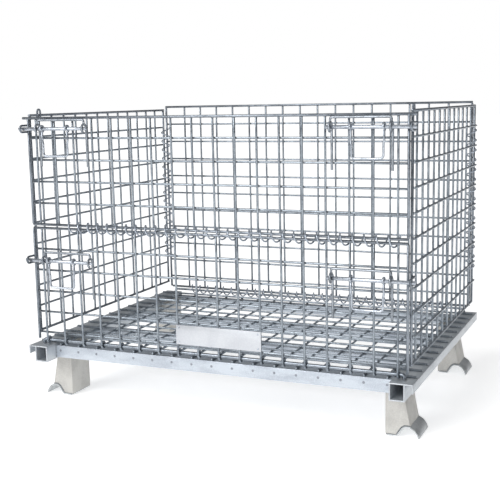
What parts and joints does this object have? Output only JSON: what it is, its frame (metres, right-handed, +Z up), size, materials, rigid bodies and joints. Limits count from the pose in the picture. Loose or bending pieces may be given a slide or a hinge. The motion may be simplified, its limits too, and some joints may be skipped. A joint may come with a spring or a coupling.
{
  "type": "folding wire mesh container",
  "caption": "Folding, stackable wire mesh container on a formed steel base, with a half-height drop gate, hinge coils and sliding bolts.",
  "frame": {"origin": "on the floor, under the middle of the container", "axes": "+Z up; -Y is the loading side with the drop gate; +X is to the right when facing that side"},
  "size_m": [0.928, 0.6841, 0.688],
  "materials": {
    "leg_sheet": "zinc plated",
    "saddle_plate": "zinc plated",
    "rail_sheet": "zinc plated",
    "strip_sheet": "zinc plated",
    "label_plate": "zinc plated",
    "coil_wire": "zinc plated",
    "latch_rod": "zinc plated",
    "frame_rod": "zinc plated",
    "mesh_wire": "zinc plated"
  },
  "bodies": {
    "base": {"side_rail_left": "rail_sheet", "side_rail_right": "rail_sheet", "front_rail": "strip_sheet", "rear_rail": "strip_sheet", "deck_bearers": "strip_sheet", "deck_long_wires": "mesh_wire", "deck_cross_wires": "mesh_wire", "leg_front_left": "leg_sheet", "leg_front_right": "leg_sheet", "leg_rear_left": "leg_sheet", "leg_rear_right": "leg_sheet", "saddle_front_left": "saddle_plate", "saddle_front_right": "saddle_plate", "saddle_rear_left": "saddle_plate", "saddle_rear_right": "saddle_plate", "front_hinge_rod": "frame_rod", "rear_hinge_rod": "frame_rod", "rear_hinge_coil": "coil_wire"},
    "back_panel": {"back_frame": "frame_rod", "back_vertical_wires": "mesh_wire", "back_horizontal_wires": "mesh_wire"},
    "side_panel_left": {"side_frame_left": "frame_rod", "side_vertical_wires_left": "mesh_wire", "side_horizontal_wires_left": "mesh_wire", "corner_coil_left": "coil_wire", "bolt_keepers_left": "mesh_wire", "top_hook_left": "mesh_wire"},
    "side_panel_right": {"side_frame_right": "frame_rod", "side_vertical_wires_right": "mesh_wire", "side_horizontal_wires_right": "mesh_wire", "corner_coil_right": "coil_wire", "bolt_keepers_right": "mesh_wire", "top_hook_right": "mesh_wire"},
    "front_panel": {"lower_frame": "frame_rod", "lower_vertical_wires": "mesh_wire", "lower_horizontal_wires": "mesh_wire", "lower_hinge_rings": "mesh_wire", "mid_coil": "coil_wire", "label_plate": "label_plate", "lower_guide_left": "latch_rod", "lower_guide_right": "latch_rod"},
    "gate": {"gate_frame": "frame_rod", "gate_vertical_wires": "mesh_wire", "gate_horizontal_wires": "mesh_wire", "gate_guide_left": "latch_rod", "gate_guide_right": "latch_rod"},
    "gate_bolt_left_body": {"gate_bolt_left": "latch_rod"},
    "gate_handle_left_body": {"gate_handle_left": "latch_rod"},
    "gate_bolt_right_body": {"gate_bolt_right": "latch_rod"},
    "gate_handle_right_body": {"gate_handle_right": "latch_rod"},
    "lower_bolt_left_body": {"lower_bolt_left": "latch_rod"},
    "lower_handle_left_body": {"lower_handle_left": "latch_rod"},
    "lower_bolt_right_body": {"lower_bolt_right": "latch_rod"},
    "lower_handle_right_body": {"lower_handle_right": "latch_rod"}
  },
  "joints": [
    {"name": "front_hinge", "type": "hinge", "parent": "base", "child": "front_panel", "pos_m": [0, -0.3125, 0.1445], "axis": [1, 0, 0], "range_deg": [0, 90]},
    {"name": "gate_hinge", "type": "hinge", "parent": "front_panel", "child": "gate", "pos_m": [0, -0.3238, 0.4173], "axis": [1, 0, 0], "range_deg": [0, 160]},
    {"name": "side_left_hinge", "type": "hinge", "parent": "base", "child": "side_panel_left", "pos_m": [-0.4438, 0.3275, 0.4], "axis": [0, 0, 1], "range_deg": [0, 90]},
    {"name": "side_right_hinge", "type": "hinge", "parent": "base", "child": "side_panel_right", "pos_m": [0.4438, 0.3275, 0.4], "axis": [0, 0, -1], "range_deg": [0, 83]},
    {"name": "back_hinge", "type": "hinge", "parent": "base", "child": "back_panel", "pos_m": [0, 0.3292, 0.147], "axis": [-1, 0, 0], "range_deg": [-90, 0]},
    {"name": "gate_bolt_left_slide", "type": "slide", "parent": "gate", "child": "gate_bolt_left_body", "axis": [1, 0, 0], "range_m": [0, 0.03]},
    {"name": "gate_handle_left_swing", "type": "hinge", "parent": "gate_bolt_left_body", "child": "gate_handle_left_body", "pos_m": [-0.366, -0.3315, 0.6423], "axis": [-1, 0, 0], "range_deg": [0, 90]},
    {"name": "gate_bolt_right_slide", "type": "slide", "parent": "gate", "child": "gate_bolt_right_body", "axis": [-1, 0, 0], "range_m": [0, 0.03]},
    {"name": "gate_handle_right_swing", "type": "hinge", "parent": "gate_bolt_right_body", "child": "gate_handle_right_body", "pos_m": [0.366, -0.3315, 0.6423], "axis": [-1, 0, 0], "range_deg": [0, 90]},
    {"name": "lower_bolt_left_slide", "type": "slide", "parent": "front_panel", "child": "lower_bolt_left_body", "axis": [1, 0, 0], "range_m": [0, 0.03]},
    {"name": "lower_handle_left_swing", "type": "hinge", "parent": "lower_bolt_left_body", "child": "lower_handle_left_body", "pos_m": [-0.366, -0.3315, 0.338], "axis": [-1, 0, 0], "range_deg": [0, 90]},
    {"name": "lower_bolt_right_slide", "type": "slide", "parent": "front_panel", "child": "lower_bolt_right_body", "axis": [-1, 0, 0], "range_m": [0, 0.03]},
    {"name": "lower_handle_right_swing", "type": "hinge", "parent": "lower_bolt_right_body", "child": "lower_handle_right_body", "pos_m": [0.366, -0.3315, 0.338], "axis": [-1, 0, 0], "range_deg": [0, 90]}
  ]
}
